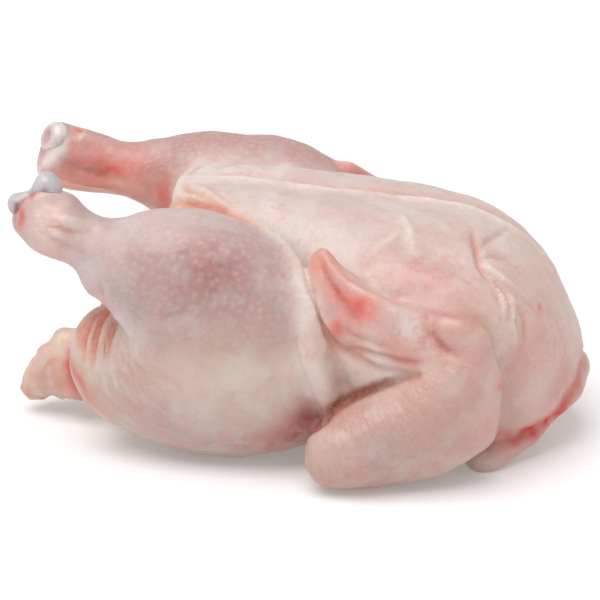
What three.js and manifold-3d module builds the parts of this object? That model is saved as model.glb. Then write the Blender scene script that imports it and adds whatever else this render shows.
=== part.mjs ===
// A whole raw chicken, plucked and drawn, lying on its back with its legs free.
//
// X runs from the tail to the neck end, Y from the bird's left side (minus) to its right side
// (plus), and Z is up from the surface that the back lies on, which is Z = 0. The bird is drawn
// as one 291 mm long, and the whole is brought to its real length in millimetres at the end.
import * as THREE from "three";
import { mergeVertices } from "three/addons/utils/BufferGeometryUtils.js";
import Module from "manifold-3d";

const wasm = await Module();
wasm.setup();

// ---- Driving dimensions -----------------------------------------------------------------------

const LENGTH = 250; // the real bird, from its hocks and tail to its neck end
const DRAWN_LENGTH = 291; // the bird that the stations below describe

const BONE_GAP = 0.35; // all round a leg bone, in the flesh that holds it
const LEG_Y = 60; // each drumstick's distance from the middle plane
const LOBE_Y = 34; // the crown of each breast lobe, from the keel
const LOBE_SPREAD = 16;
const KEEL_SPREAD = 5;
const KEEL_RISE = 1.8; // of the keel ridge
const BREAST_SQUARENESS = 2.8; // superellipse power of the section above its widest line
const BACK_SQUARENESS = 2.2; // and below it
const RUMP_ROUNDING = 14;
const NECK_ROUNDING = 22;
const HAND_LIFT = 6; // the right wing's hand lies this much higher than the left one's
const KNEE_LIFT = 9; // and the fold behind the right knee this much higher

// Stations of the trunk: x, half width, keel z, back z, z of the widest line, rise of the lobes.
const TRUNK = [
  [-110, 26, 54, 14, 36, 0],
  [-98, 36, 68, 8, 42, 0],
  [-84, 42, 84, 3, 48, 0],
  [-72, 46, 100, 0, 54, 0],
  [-62, 48, 122, -2, 56, 3],
  [-52, 50, 125.5, -4, 57, 5],
  [-36, 55, 126, -5, 58, 5],
  [0, 68, 122.5, -6, 58, 4],
  [45, 76, 118.5, -6, 56, 2.5],
  [80, 75, 114.5, -5, 52, 0],
  [105, 67, 104.5, 0, 50, -1.5],
  [120, 58, 92, 6, 48, -5],
  [132, 47, 76, 14, 45, -2],
  [142, 34, 60, 22, 43, 0],
];

// Stations of everything else: x, y, z, half size across, half size upwards. A paired piece is
// given on the left side, and the right one is its mirror image.
const BREAST_SIDE = [ // the muscle that fills the breast out towards the wing
  [34, -58, 97, 13, 14],
  [60, -64, 91, 13, 15],
  [84, -67, 82, 12, 15],
  [104, -61, 66, 11, 13],
];
const THIGH = [
  [-106, -36, 46, 12, 16],
  [-94, -42, 46, 22, 27],
  [-70, -48, 44, 30, 36],
  [-38, -52, 46, 34, 45],
  [-5, -55, 52, 32, 45],
  [18, -56, 60, 22, 34],
  [28, -54, 62, 12, 22],
];
const LEFT_DRUMSTICK = [
  [14, -LEG_Y + 4, 72, 20, 22],
  [-10, -LEG_Y, 80, 29, 31],
  [-38, -LEG_Y - 1, 91, 31, 34],
  [-62, -LEG_Y - 1, 97, 28.5, 30.5],
  [-80, -LEG_Y - 1, 101, 22, 24],
  [-97, -LEG_Y, 110.5, 12.5, 13],
  [-109, -LEG_Y, 118.5, 13.5, 15.5],
  [-120, -LEG_Y, 126, 13, 16],
];
const LEFT_CUFF = [ // its cut end, from under the rear knuckle to the front one
  [-130.5, -LEG_Y - 1, 114, 8, 7],
  [-123, -LEG_Y - 1, 120.5, 10, 10],
  [-114, -LEG_Y, 128, 10.5, 10.5],
  [-107, -LEG_Y + 1, 132, 9, 7],
];
const SHANK_FOLD = [ // the slack skin that hangs under that end
  [-126, -LEG_Y - 2, 113, 6, 6],
  [-112, -LEG_Y - 3, 107.5, 6, 6.5],
  [-101, -LEG_Y - 3, 104, 5, 6.5],
  [-93, -LEG_Y - 2, 104, 3, 4],
];
const RIGHT_DRUMSTICK = [
  [12, LEG_Y - 2, 88, 20, 24],
  [-14, LEG_Y, 102, 29, 29],
  [-42, LEG_Y + 1, 103.5, 31, 29.5],
  [-62, LEG_Y + 1, 107, 27, 27.5],
  [-82, LEG_Y, 111.5, 18, 19],
  [-98, LEG_Y, 113, 14, 14.5],
  [-112, LEG_Y, 115.5, 14.5, 16],
  [-126, LEG_Y - 2, 119, 14, 17.5],
  [-141.5, LEG_Y - 6.5, 125, 12, 17],
];
const FLAT_END = 0.3; // rounding of the right leg's cut end, as a share of its size
const KNEE_FOLD = [ // a drumstick's lower rear edge, where its skin folds over the thigh
  [-94, -60, 96, 4, 5],
  [-87, -66, 87, 4, 6],
  [-79, -71, 78, 4, 6.5],
  [-70, -76, 71, 4, 6],
  [-58, -80, 66, 3, 4],
];
const TAIL = [
  [-92, 0, 30, 26, 19],
  [-108, 0, 27, 23, 18],
  [-120, 0, 24, 18, 17],
  [-131, 0, 18.5, 13, 11.5],
  [-139.5, 0, 13.5, 7.5, 7],
  [-145, 0, 12, 5, 5],
];
const FOREARM = [
  [11, -87, 18, 15, 14.5],
  [32, -90, 19.5, 17, 18],
  [54, -90, 32, 16, 17.5],
  [74, -88, 48, 15, 16.5],
  [86, -85, 64, 12, 14.5],
  [88, -83, 76, 9, 12],
];
const UPPER_ARM = [
  [18, -85, 16, 14, 14],
  [38, -86, 18, 16, 18],
  [65, -81, 24, 17, 20],
  [84, -74, 32, 17, 20],
  [96, -62, 38, 16, 20],
];
const WING_WEB = [
  [88, -85, 70, 9, 14],
  [89, -84, 55, 10, 15],
  [87, -81, 38, 12, 16],
  [82, -79, 22, 14, 16],
];
const WING_HAND = [
  [92, -83, 68, 9, 13],
  [74, -85, 71, 8.5, 15],
  [56, -85, 75, 7.5, 16.5],
  [39.5, -83.5, 83, 6.5, 16],
  [29, -80, 90, 6, 14],
  [22, -76, 98, 5.5, 11],
  [17.5, -70, 108, 4.5, 6],
];
const WING_THUMB = [
  [97, -84, 72, 7, 9],
  [86, -89, 80, 5.5, 8],
  [70, -91, 85, 4, 5.5],
];
// The rolled rear edge of the breast skin over the vent, from the left side to the middle plane.
const VENT_FLAP_HALF = [
  [-44, -44, 108, 4, 5],
  [-52, -33, 112, 4.5, 6.5],
  [-57.5, -20, 115.5, 4.5, 8],
  [-58, -7, 118.5, 4.5, 8.5],
];
// The loose edge of that skin, from the vent down to behind the wing.
const SKIN_EDGE = [
  [-54, -16, 122, 3.5, 4],
  [-45, -28, 118.5, 3.5, 4.5],
  [-34, -38, 115.5, 4, 5],
  [-20, -46, 113, 4, 5],
  [-6, -56, 108.5, 4, 7],
  [5, -70, 98, 4, 8],
  [11, -78, 82, 4.5, 9],
  [16, -82, 64, 5, 9.5],
  [21, -83, 48, 5, 9.5],
  [25, -80, 34, 5, 9],
];
// The web of skin between the leg and the folded wing.
const FLANK = [
  [20, -68, 100, 8, 10],
  [28, -74, 84, 8, 18],
  [36, -77, 68, 8, 21],
  [43, -77, 56, 8, 19],
  [48, -71, 44, 8, 14],
];
// The rolled edge of the neck skin, from the left shoulder to the middle plane.
const NECK_LIP_HALF = [
  [84, -58, 6, 9, 8],
  [98, -55, 6.5, 9, 8],
  [108, -48, 8.5, 6, 6.5],
  [117.5, -42, 12, 4.5, 4],
  [125, -38, 18.5, 3.5, 3],
  [131.5, -30.5, 24, 4, 3.5],
  [136.5, -20, 29, 5.5, 6],
  [139.5, -7, 33, 6, 7.5],
];
// The open cut between the breast and that edge.
const NECK_CUT_HALF = [
  [90, -64, 14, 4, 2],
  [100, -57, 16, 6, 2.2],
  [108, -51, 15.5, 8, 2.5],
  [116.5, -46, 16.5, 9, 3],
  [124, -40, 20.5, 9, 3],
  [130, -33, 26, 9, 3],
  [135, -22, 34, 9, 3],
  [138, -8, 40, 9, 2.6],
];
// The emptied body, from outside the vent to under the neck end of the breast.
const BODY_CAVITY = [
  [-128, 0, 101, 26, 24],
  [-96, 0, 84, 29, 28],
  [-66, 0, 68, 34, 35],
  [-30, 0, 54, 40, 36],
  [10, 0, 50, 42, 33],
  [50, 0, 48, 38, 28],
  [84, 0, 46, 24, 18],
];

// Round bodies: centre, half sizes.
const NECK_PAD = { centre: [99, 0, 11], half: [27, 42, 22] };
const FAT_LUMPS = [
  { centre: [-123, 5, 40], half: [6, 6, 4.5] },
  { centre: [-117, -7, 42], half: [6, 6, 5] },
  { centre: [-130, -6, 33], half: [5, 4.5, 4.5] },
  { centre: [-124, -15, 30], half: [6, 5, 6] },
  { centre: [-140.5, -2, 11], half: [5, 5, 4.5] },
  { centre: [-133, -5, 8.5], half: [4, 3.5, 3.5] },
  { centre: [-126, 9, 10], half: [5, 4, 4.5] },
  { centre: [-112, -16, 14], half: [8, 7, 6] },
];

// Leg bones: the shaft inside the drumstick, and the gristle of the joint at its free end.
const LEFT_SHAFT = [
  [-30, -LEG_Y, 88, 7.5, 7.5],
  [-62, -LEG_Y, 97, 4.5, 4.5],
  [-97, -LEG_Y, 110.5, 5, 5],
  [-118, -LEG_Y, 126, 7, 7],
];
const LEFT_KNUCKLES = [
  { centre: [-126.2, -LEG_Y, 126.4], half: [6.6, 6.6, 6.4] },
  { centre: [-113.4, -LEG_Y, 135.4], half: [7, 7.3, 7.3] },
];
const LEFT_WAIST = 4.5; // half the thickness of the gristle between those two
const RIGHT_SHAFT = [
  [-34, LEG_Y, 105, 7.5, 7.5],
  [-66, LEG_Y, 108.5, 4.5, 4.5],
  [-100, LEG_Y, 114, 5, 5],
  [-130, LEG_Y - 3, 125, 6, 6],
];
const RIGHT_KNUCKLE = { centre: [-133.5, LEG_Y - 6.5, 130], half: [9.2, 9.2, 7] };
const RIGHT_DIMPLE = { reach: 7.2, half: [5, 5, 3.2] };

// ---- Shapes -----------------------------------------------------------------------------------

const UP = new THREE.Vector3(0, 0, 1);
const WELD = 1e-4; // vertices closer than this are one
const PATH_STEPS = 120; // samples that measure a path's length
const END_ROUNDING = 0.8; // rounding of a limb's end, as a share of its size

// A closed mesh becomes a solid once only its positions are left and doubled ones are merged.
function solid(geometry) {
  geometry.deleteAttribute("normal");
  geometry.deleteAttribute("uv");
  const merged = mergeVertices(geometry, WELD);
  return new wasm.Manifold(new wasm.Mesh({
    numProp: 3,
    vertProperties: Float32Array.from(merged.attributes.position.array),
    triVerts: Uint32Array.from(merged.index.array),
  }));
}

function joined(solids) {
  return solids.reduce((whole, piece) => whole.add(piece));
}

// A ball is drawn out along a path: its latitude runs along the path, its longitude round it.
// place(share, across, upward) gives the point at that share of the path, for a direction
// (across, upward) of length 1 in the section.
function drawnOutBall(around, along, place) {
  const ball = new THREE.SphereGeometry(1, around, along);
  const points = ball.attributes.position;
  for (let i = 0; i < points.count; i++) {
    const radius = Math.max(Math.hypot(points.getX(i), points.getZ(i)), 1e-12);
    const share = (1 - points.getY(i)) / 2;
    const point = place(share, points.getZ(i) / radius, points.getX(i) / radius);
    points.setXYZ(i, point.x, point.y, point.z);
  }
  return solid(ball);
}

function curveThrough(points) {
  return new THREE.CatmullRomCurve3(points, false, "catmullrom", 0.5);
}

// Quarter-round ends: the section's share of full size at a distance from each end of a path.
function roundEnds(fromStart, toEnd, startRounding, endRounding) {
  const quarter = (distance, rounding) => {
    const lack = Math.max(0, 1 - distance / rounding);
    return Math.sqrt(Math.max(0, 1 - lack * lack));
  };
  return quarter(fromStart, startRounding) * quarter(toEnd, endRounding);
}

// A limb has elliptic sections square to the curve through its stations. Its half sizes run
// smoothly from station to station, and both ends are rounded.
function limb(stations, options = {}) {
  const { up = UP, around = 24, along = 16, grow = 0, endRounding = END_ROUNDING } = options;
  const path = curveThrough(stations.map(([x, y, z]) => new THREE.Vector3(x, y, z)));
  const girth = curveThrough(stations.map(([, , , side, rise]) => new THREE.Vector3(side, rise, 0)));
  const lengths = path.getLengths(PATH_STEPS);
  const total = lengths[PATH_STEPS];
  const [startSize, endSize] = [stations[0], stations[stations.length - 1]].map(
    ([, , , side, rise]) => Math.max(side, rise) + grow);
  return drawnOutBall(around, along, (share, across, upward) => {
    const tangent = path.getTangent(share);
    const side = new THREE.Vector3().crossVectors(tangent, up).normalize();
    const rise = new THREE.Vector3().crossVectors(side, tangent);
    const step = Math.min(Math.floor(share * PATH_STEPS), PATH_STEPS - 1);
    const run = THREE.MathUtils.lerp(lengths[step], lengths[step + 1], share * PATH_STEPS - step);
    const size = girth.getPoint(share).addScalar(grow);
    const scale = roundEnds(run, total - run, END_ROUNDING * startSize, endRounding * endSize);
    return path.getPoint(share)
      .addScaledVector(tangent, grow * (2 * share - 1))
      .addScaledVector(side, across * size.x * scale)
      .addScaledVector(rise, upward * size.y * scale);
  });
}

const signedPower = (value, power) => Math.sign(value) * Math.abs(value) ** power;

// The trunk's upright sections are superellipses whose upper and lower halves differ in height
// and power. Above the widest line, a crown on each breast lobe and a keel ridge are added.
function trunk(around, along) {
  const line = curveThrough(TRUNK.map(([x, width, keel]) => new THREE.Vector3(x, width, keel)));
  const lower = curveThrough(
    TRUNK.map(([, , , back, middle, lobe]) => new THREE.Vector3(back, middle, lobe)));
  const first = line.getPoint(0).x;
  const last = line.getPoint(1).x;
  return drawnOutBall(around, along, (share, across, upward) => {
    const { x, y: width, z: keel } = line.getPoint(share);
    const { x: back, y: middle, z: lobe } = lower.getPoint(share);
    const scale = roundEnds(x - first, last - x, RUMP_ROUNDING, NECK_ROUNDING);
    const power = 2 / (upward > 0 ? BREAST_SQUARENESS : BACK_SQUARENESS);
    const height = signedPower(upward, power);
    const y = -width * scale * signedPower(across, power);
    const crown = Math.exp(-(((Math.abs(y) - LOBE_Y) / LOBE_SPREAD) ** 2));
    const ridge = KEEL_RISE * Math.exp(-((y / KEEL_SPREAD) ** 2));
    const relief = (lobe * crown + ridge) * THREE.MathUtils.clamp(height * 1.5, 0, 1);
    const reach = upward > 0 ? keel - middle : middle - back;
    return new THREE.Vector3(x, y, middle + reach * scale * height + relief);
  });
}

function ellipsoid({ centre, half }, { turn = new THREE.Quaternion(), grow = 0, around = 14 } = {}) {
  const ball = new THREE.SphereGeometry(1, around, around / 2);
  ball.scale(half[0] + grow, half[1] + grow, half[2] + grow);
  ball.applyQuaternion(turn);
  ball.translate(...centre);
  return solid(ball);
}

function mirrored(stations) {
  return stations.map(([x, y, ...rest]) => [x, -y, ...rest]);
}

function raised(stations, lift) {
  return stations.map(([x, y, z, ...rest]) => [x, y, z + lift, ...rest]);
}

// Stations given up to the middle plane go on through it as their own mirror image.
function throughMiddle(half) {
  return [...half, ...mirrored(half).reverse()];
}

// ---- Leg bones --------------------------------------------------------------------------------

// The left knuckle is a pair of condyles side by side, square to the shaft's end.
function leftBone(grow) {
  const tilt = Math.atan2(LEFT_KNUCKLES[1].centre[2] - LEFT_KNUCKLES[0].centre[2],
    LEFT_KNUCKLES[1].centre[0] - LEFT_KNUCKLES[0].centre[0]);
  const turn = new THREE.Quaternion().setFromAxisAngle(new THREE.Vector3(0, -1, 0), tilt);
  const knuckles = LEFT_KNUCKLES.map((knuckle) => ellipsoid(knuckle, { turn, grow, around: 14 }));
  const waist = limb(
    LEFT_KNUCKLES.map(({ centre }) => [...centre, LEFT_WAIST, LEFT_WAIST]), { around: 10, along: 4, grow });
  return joined([limb(LEFT_SHAFT, { around: 10, along: 10, grow }), waist, ...knuckles]);
}

// The right knuckle is seen on its end: a round head with a dimple in the middle.
const HEAD_FACING = new THREE.Vector3(-0.72, -0.55, 0.42).normalize();

function rightBone(grow) {
  const turn = new THREE.Quaternion().setFromUnitVectors(UP, HEAD_FACING);
  const head = ellipsoid(RIGHT_KNUCKLE, { turn, grow, around: 16 });
  return limb(RIGHT_SHAFT, { around: 10, along: 10, grow }).add(head);
}

function rightDimple() {
  const turn = new THREE.Quaternion().setFromUnitVectors(UP, HEAD_FACING);
  const place = new THREE.Vector3(...RIGHT_KNUCKLE.centre).addScaledVector(HEAD_FACING, RIGHT_DIMPLE.reach);
  return ellipsoid({ centre: place.toArray(), half: RIGHT_DIMPLE.half }, { turn });
}

// ---- Flesh and skin ---------------------------------------------------------------------------

const ACROSS_WING = new THREE.Vector3(-0.6, 0, 0.8);
const ACROSS_HAND = new THREE.Vector3(0.5, 0, 0.85);
const ALONG_BODY = new THREE.Vector3(1, 0, 0);

function wing(side, lift) {
  const stations = (left) => (side < 0 ? left : mirrored(left));
  return joined([
    limb(stations(FOREARM), { up: ACROSS_WING, around: 16, along: 12 }),
    limb(stations(UPPER_ARM), { around: 10, along: 8 }),
    limb(stations(WING_WEB), { up: ALONG_BODY, around: 10, along: 8 }),
    limb(raised(stations(WING_HAND), lift), { up: ACROSS_HAND, around: 12, along: 12 }),
    limb(raised(stations(WING_THUMB), lift), { up: ACROSS_HAND, around: 8, along: 6 }),
  ]);
}

// One side's folds of skin round the leg, and the breast muscle between them and the wing.
function flankAndFolds(side, kneeLift) {
  const stations = (left) => (side < 0 ? left : mirrored(left));
  const outwards = new THREE.Vector3(0, side, 0.3);
  return joined([
    limb(stations(BREAST_SIDE), { around: 12, along: 8 }),
    limb(raised(stations(KNEE_FOLD), kneeLift), { up: outwards, around: 8, along: 8 }),
    limb(stations(SKIN_EDGE), { up: outwards, around: 8, along: 16 }),
    limb(stations(FLANK), { up: ALONG_BODY, around: 12, along: 8 }),
  ]);
}

// Everything below the surface that the bird lies on, which its soft back is flattened against.
function groundSlab() {
  const [length, width, depth] = [400, 300, 60];
  return solid(new THREE.BoxGeometry(length, width, depth).translate(0, 0, -depth / 2));
}

// Of a solid whose pieces close round small gaps, only the outermost surface is kept.
function outerSurface(shape) {
  return shape.decompose().reduce((most, piece) => (piece.volume() > most.volume() ? piece : most));
}

function chicken() {
  const flesh = joined([
    trunk(38, 26),
    limb(THIGH, { around: 20, along: 12 }),
    limb(mirrored(THIGH), { around: 20, along: 12 }),
    limb(LEFT_DRUMSTICK, { around: 20, along: 16 }),
    limb(LEFT_CUFF, { around: 10, along: 7 }),
    limb(SHANK_FOLD, { around: 8, along: 6 }),
    limb(RIGHT_DRUMSTICK, { around: 20, along: 16, endRounding: FLAT_END }),
    limb(TAIL, { around: 14, along: 9 }),
    wing(-1, 0),
    wing(1, HAND_LIFT),
    flankAndFolds(-1, 0),
    flankAndFolds(1, KNEE_LIFT),
    limb(throughMiddle(VENT_FLAP_HALF), { around: 10, along: 14 }),
    ellipsoid(NECK_PAD, { around: 18 }),
    limb(throughMiddle(NECK_LIP_HALF), { around: 8, along: 26 }),
    ...FAT_LUMPS.map((lump) => ellipsoid(lump, { around: 8 })),
  ]);
  return outerSurface(flesh)
    .subtract(limb(BODY_CAVITY, { around: 14, along: 12 }))
    .subtract(limb(throughMiddle(NECK_CUT_HALF), { around: 8, along: 24 }))
    .subtract(leftBone(BONE_GAP))
    .subtract(rightBone(BONE_GAP))
    .subtract(groundSlab());
}

// ---- The part ---------------------------------------------------------------------------------

function named(name, shape, colour, roughness) {
  const { numProp, vertProperties, triVerts } = shape.getMesh();
  const geometry = new THREE.BufferGeometry();
  geometry.setAttribute("position", new THREE.BufferAttribute(vertProperties, numProp));
  geometry.setIndex(new THREE.BufferAttribute(triVerts, 1));
  const material = new THREE.MeshStandardMaterial({ color: colour, roughness, metalness: 0 });
  const mesh = new THREE.Mesh(geometry, material);
  mesh.name = name;
  return mesh;
}

const SKIN = "#dcc0b4";
const GRISTLE = "#cfd3d8";

const bird = new THREE.Group();
bird.scale.setScalar(LENGTH / DRAWN_LENGTH);
bird.add(named("chicken", chicken(), SKIN, 0.5));
bird.add(named("left_leg_bone", leftBone(0), GRISTLE, 0.35));
bird.add(named("right_leg_bone", rightBone(0).subtract(rightDimple()), GRISTLE, 0.35));

export default bird;
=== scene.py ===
import math

import bpy
import numpy as np
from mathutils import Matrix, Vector


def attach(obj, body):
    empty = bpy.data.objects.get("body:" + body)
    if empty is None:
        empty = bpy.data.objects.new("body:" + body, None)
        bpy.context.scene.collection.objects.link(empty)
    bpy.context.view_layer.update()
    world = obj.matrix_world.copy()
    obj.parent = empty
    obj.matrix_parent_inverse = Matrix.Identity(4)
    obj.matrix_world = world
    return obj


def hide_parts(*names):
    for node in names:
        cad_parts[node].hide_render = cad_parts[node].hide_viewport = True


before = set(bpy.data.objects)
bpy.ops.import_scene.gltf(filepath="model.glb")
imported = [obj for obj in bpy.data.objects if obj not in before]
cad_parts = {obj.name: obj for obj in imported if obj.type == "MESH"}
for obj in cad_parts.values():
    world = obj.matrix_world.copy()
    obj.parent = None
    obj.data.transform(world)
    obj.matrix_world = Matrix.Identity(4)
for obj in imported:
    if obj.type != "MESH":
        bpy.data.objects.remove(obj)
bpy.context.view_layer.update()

# ---- Trunk ------------------------------------------------------------------------------------
# The back, the sides and the breast of a drawn bird: two breast muscles, one on each side of the
# keel bone, over the ribs. Here it is bare muscle, and the skin goes over everything at the end.
LENGTH = 0.250  # the real bird, from its hocks to its neck end, in metres
DRAWN_LENGTH = 291.0  # and the bird that all the stations describe, in drawn millimetres
MM = LENGTH / DRAWN_LENGTH

LOBE_Y = 34.0  # the crown of each breast muscle, from the keel
LOBE_SPREAD = 16.0
BREAST_POWER = 2 / 2.8  # superellipse powers above and below the widest line
BACK_POWER = 2 / 2.2
RUMP_ROUNDING = 14.0
NECK_ROUNDING = 22.0

# x, half width, keel z, back z, z of the widest line, rise of the lobes
TRUNK = [
    (-110, 26, 54, 14, 36, 0),
    (-98, 36, 68, 8, 42, 0),
    (-84, 42, 84, 3, 48, 0),
    (-72, 46, 100, 0, 54, 0),
    (-62, 48, 122, -2, 56, 3),
    (-52, 50, 125.5, -4, 57, 5),
    (-36, 55, 126, -5, 58, 5),
    (0, 68, 122.5, -6, 58, 4),
    (45, 76, 118.5, -6, 56, 2.5),
    (80, 75, 114.5, -5, 52, 0),
    (105, 67, 104.5, 0, 50, -1.5),
    (120, 58, 92, 6, 48, -5),
    (132, 47, 76, 14, 45, -2),
    (142, 34, 60, 22, 43, 0),
]


def spline(rows, share):
    """Rows of numbers at each share (0 to 1) of a uniform Catmull-Rom spline through the stations,
    whose first and last stretches are carried on straight."""
    rows = np.asarray(rows, float)
    rows = np.vstack([2 * rows[0] - rows[1], rows, 2 * rows[-1] - rows[-2]])
    place = np.clip(share, 0, 1) * (len(rows) - 3)
    first = np.minimum(place.astype(int), len(rows) - 4)
    u = (place - first)[:, None]
    a, b, c, d = (rows[first + k] for k in range(4))
    cubic = (3 * b - a - 3 * c + d) * u**3 + (2 * a - 5 * b + 4 * c - d) * u**2
    return 0.5 * (2 * b + (c - a) * u + cubic)


def even_shares(count):
    """Shares of a path that crowd towards its two ends, where it is rounded: half of 1 - cosine."""
    return 0.5 - 0.5 * np.cos(np.pi * np.arange(count + 1) / count)


def round_ends(run, start, end):
    """The section's share of full size along a path: a quarter circle at each end."""
    def quarter(distance, rounding):
        lack = np.clip(1 - distance / rounding, 0, 1)
        return np.sqrt(np.clip(1 - lack**2, 0, 1))
    return quarter(run - run[0], start) * quarter(run[-1] - run, end)


def closed_by_poles(rings):
    """Points and faces of a tube of rings whose first and last rings are single points."""
    count, around, _ = rings.shape
    points = np.vstack([rings[1:-1].reshape(-1, 3), rings[0, :1], rings[-1, :1]])
    ring = np.arange(count - 3)[:, None] * around
    here = np.arange(around)[None]
    after = (here + 1) % around
    walls = np.stack([ring + here, ring + after, ring + around + after, ring + around + here], -1)
    last = (count - 3) * around
    first_pole = np.full(around, (count - 2) * around)
    caps = [(first_pole, after[0], here[0]), (first_pole + 1, last + here[0], last + after[0])]
    faces = walls.reshape(-1, 4).tolist()
    for cap in caps:
        faces += np.stack(cap, -1).tolist()
    return points, faces


def signed_power(value, power):
    return np.sign(value) * np.abs(value) ** power


def trunk(around=96, along=120):
    """Upright superellipses along x. Above the widest line a Gaussian crown for each of the two
    breast muscles is added to the height."""
    x, width, keel, back, middle, lobe = spline(TRUNK, even_shares(along)).T[:, :, None]
    size = round_ends(x, RUMP_ROUNDING, NECK_ROUNDING)
    angle = 2 * np.pi * np.arange(around)[None] / around
    upper = np.sin(angle) > 0
    power = np.where(upper, BREAST_POWER, BACK_POWER)
    height = signed_power(np.sin(angle), power)
    y = -width * size * signed_power(np.cos(angle), power)
    crown = np.exp(-(((np.abs(y) - LOBE_Y) / LOBE_SPREAD) ** 2))
    z = middle + np.where(upper, keel - middle, middle - back) * size * height
    z = z + lobe * crown * np.clip(height * 1.5, 0, 1)
    return closed_by_poles(np.stack([x + 0 * y, y, z], -1))


def linear(colour):
    """A hex colour as linear red, green and blue."""
    value = np.array([int(colour[k:k + 2], 16) for k in (1, 3, 5)]) / 255
    return np.where(value < 0.04045, value / 12.92, ((value + 0.055) / 1.055) ** 2.4)


def mirrored(rows):
    """Stations, points or folds of the left side (minus y) on the right side."""
    return [(x, -y, *rest) for x, y, *rest in rows]


def path_of(stations):
    """The points that a limb's stations run through, without its half sizes."""
    return [row[:3] for row in stations]


flesh = [trunk()]  # closed surfaces under the skin
parts = {}  # for each part of the body: stations, up, colour of its skin, share of follicles
folds = []  # in the skin: height (minus is a crease) and half width in drawn mm, path
patches = []  # on the skin: colour, strength, radius in drawn mm, places along it

parts["trunk"] = (
    [(x, 0, (keel + back) / 2, width, (keel - back) / 2) for x, width, keel, back, *_ in TRUNK],
    (0, 0, 1), "#d8bcb0", 0.25,
)
KEEL = [(-50, 0, 126), (-30, 0, 125.5), (10, 0, 122), (60, 0, 117), (95, 0, 110), (120, 0, 92)]
folds += [
    (1.8, 3.0, KEEL),
    (-1.5, 5.0, [(x, 10, z + 1) for x, _, z in KEEL]),
]
BREAST_SIDE = [  # the muscle that fills the breast out towards the wing, left side
    (34, -58, 97, 13, 14),
    (60, -64, 91, 13, 15),
    (84, -67, 82, 12, 15),
    (104, -61, 66, 11, 13),
]
flesh_of_both_sides = [(BREAST_SIDE, (0, 0, 1), 0)]  # stations, up, lift of the right one
BREAST_CREASE = [(85, -24, 112), (88, -41, 106), (90, -51, 100), (96, -58, 93)]
BREAST_RIDGES = [  # thick folds of pale skin beside that crease
    [(93, -50, 102), (99, -52, 98), (107, -52, 91), (114, -49, 84)],
    [(98, -57, 93), (102, -62, 87), (101, -70, 80)],
    [(105, -57, 91), (108, -60, 84), (106, -65, 78), (108, -65, 68)],
]
FAT_STREAKS = [
    [(52, -28, 120), (55, -38, 118), (58, -47, 113), (59, -56, 107)],
    [(52, -43, 116), (48, -50, 112), (43, -55, 108), (39, -59, 106)],
]
BREAST_FOLDS = [
    (-2.8, 1.9, BREAST_CREASE),
    (-2.0, 1.7, [(89, -44, 105), (94, -30, 107), (103, -5, 106)]),
    (-1.8, 1.6, [(89, -47, 103), (96, -42, 103), (106, -36, 99)]),
    (1.8, 2.2, BREAST_RIDGES[0]),
    (-2.2, 1.7, [(92, -53, 99), (100, -56, 93), (104, -59, 88), (108, -60, 78)]),
    (2.2, 2.0, BREAST_RIDGES[1]),
    (2.0, 1.9, BREAST_RIDGES[2]),
    (-1.9, 1.6, [(110, -58, 82), (113, -59, 75), (112, -62, 68)]),
    (-1.4, 1.5, [(96, -60, 88), (99, -65, 82), (98, -72, 76)]),
    (-1.3, 1.5, [(112, -54, 86), (118, -50, 80), (123, -47, 70)]),
    (1.2, 1.8, [(114, -57, 78), (120, -52, 70), (124, -50, 60)]),
    (1.1, 1.5, FAT_STREAKS[0]),
    (1.1, 1.5, FAT_STREAKS[1]),
]
BREAST_PATCHES = [
    ("#c79c90", 0.4, 20, [(40, -44, 116), (58, -50, 112), (74, -70, 100)]),
    ("#d09a8c", 0.5, 24, [(122, -46, 56)]),
    ("#d29c92", 0.6, 12, [(84, -68, 98), (60, -72, 99), (44, -72, 101)]),
    ("#cc8578", 0.6, 9, [(137, -24, 38), (131, -38, 40), (122, -50, 36)]),
    ("#c98a84", 0.6, 7, [(110, -64, 70), (108, -68, 50)]),
    # painted shade: a darker pink line in the breast crease
    ("#d08078", 0.7, 1.6, BREAST_CREASE),
    *[("#e4d6cc", 0.8, 1.8, path) for path in BREAST_RIDGES],
    ("#e6dacd", 0.8, 2.2, FAT_STREAKS[0]),
    ("#e6dacd", 0.7, 2.2, FAT_STREAKS[1]),
]
patches += [
    # painted shade: a pinker band on the far side of the keel, away from the light
    ("#d3aba2", 0.4, 8, [(x, 9, z + 1) for x, _, z in KEEL]),
    ("#ebdfd6", 0.9, 2.4, KEEL),
]
FLUSHED = [  # where fine blood vessels show through the skin: radius, places, left side
    (16, [(46, -70, 102), (72, -66, 104), (92, -66, 92)]),
    (18, [(112, -58, 70), (126, -46, 58), (136, -26, 44)]),
    (10, [(100, -64, 84), (112, -56, 90)]),
    (12, [(30, -88, 84), (60, -90, 76), (88, -90, 76)]),
    (10, [(-96, -58, 62), (-112, -24, 32)]),
    (12, [(-118, -62, 124), (-104, -62, 118)]),
]

# ---- Legs -------------------------------------------------------------------------------------
# A thigh lies along each flank, and the drumstick on it points back and up to the hock, where the
# foot was cut off through the joint. Slack skin gathers above the vent and round the cut.
LEG_Y = 60.0

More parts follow.
